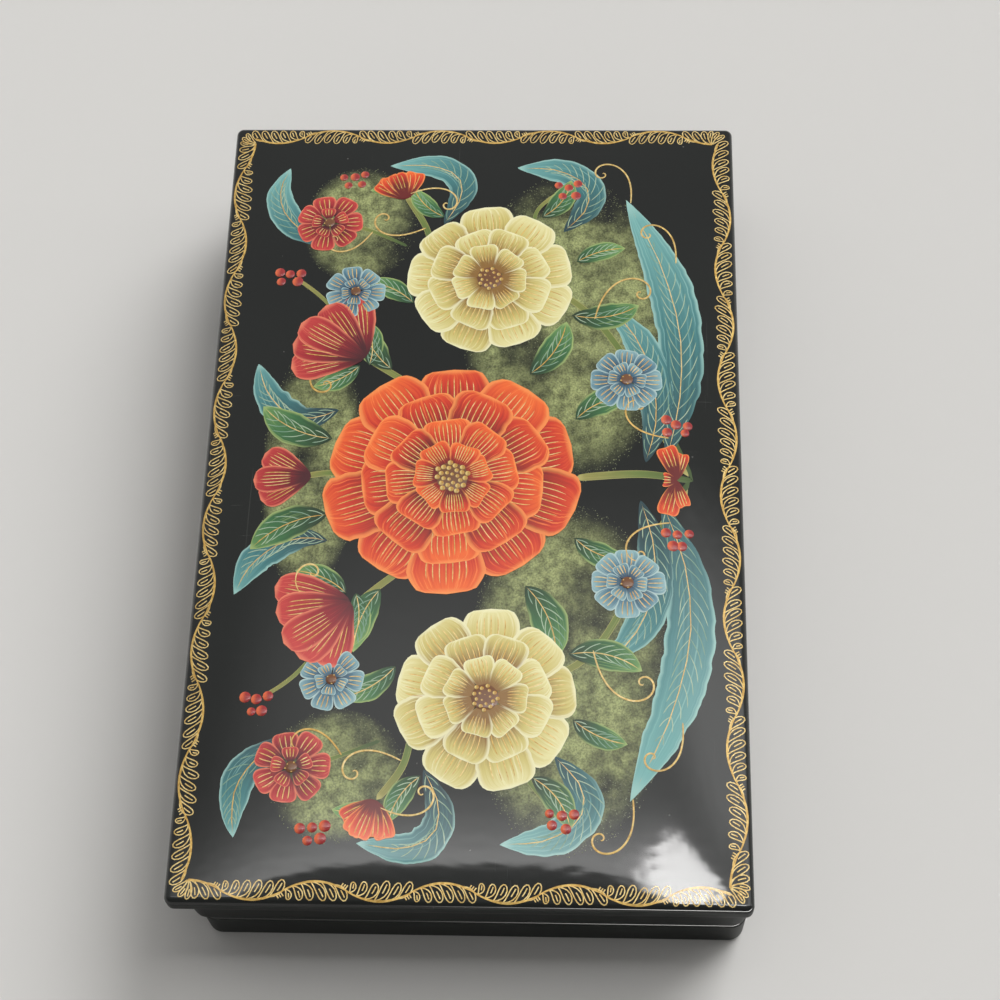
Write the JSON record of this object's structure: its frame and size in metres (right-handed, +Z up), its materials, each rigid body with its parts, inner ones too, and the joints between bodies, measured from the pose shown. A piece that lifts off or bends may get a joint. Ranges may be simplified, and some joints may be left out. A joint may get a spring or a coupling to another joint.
{
  "type": "lacquer box",
  "caption": "Hinged rectangular papier-mache box with a crowned, overhanging painted lid, a deep lid rim, an inner locating lip and a flat base.",
  "frame": {"origin": "on the table, below the middle of the closed lid, which is the middle of the whole box's outline", "axes": "+X along the long sides, -Y towards the front, +Y towards the hinge, +Z up"},
  "size_m": [0.184, 0.115, 0.0297],
  "materials": {
    "black_lacquer": "gloss",
    "red_lacquer": "gloss",
    "hinge_brass": "satin"
  },
  "bodies": {
    "box": {"body_wall": "black_lacquer", "bottom_board": "red_lacquer", "inner_lip": "red_lacquer", "body_strip_left": "hinge_brass", "body_strip_middle": "hinge_brass", "body_strip_right": "hinge_brass", "hinge_pin": "hinge_brass"},
    "lid": {"lid_panel": "black_lacquer", "lid_rim": "black_lacquer", "lid_strip_left": "hinge_brass", "lid_strip_right": "hinge_brass"}
  },
  "joints": [
    {"name": "lid_hinge", "type": "hinge", "parent": "box", "child": "lid", "pos_m": [0, 0.0516, 0.0116], "axis": [-1, 0, 0], "range_deg": [0, 105]}
  ]
}
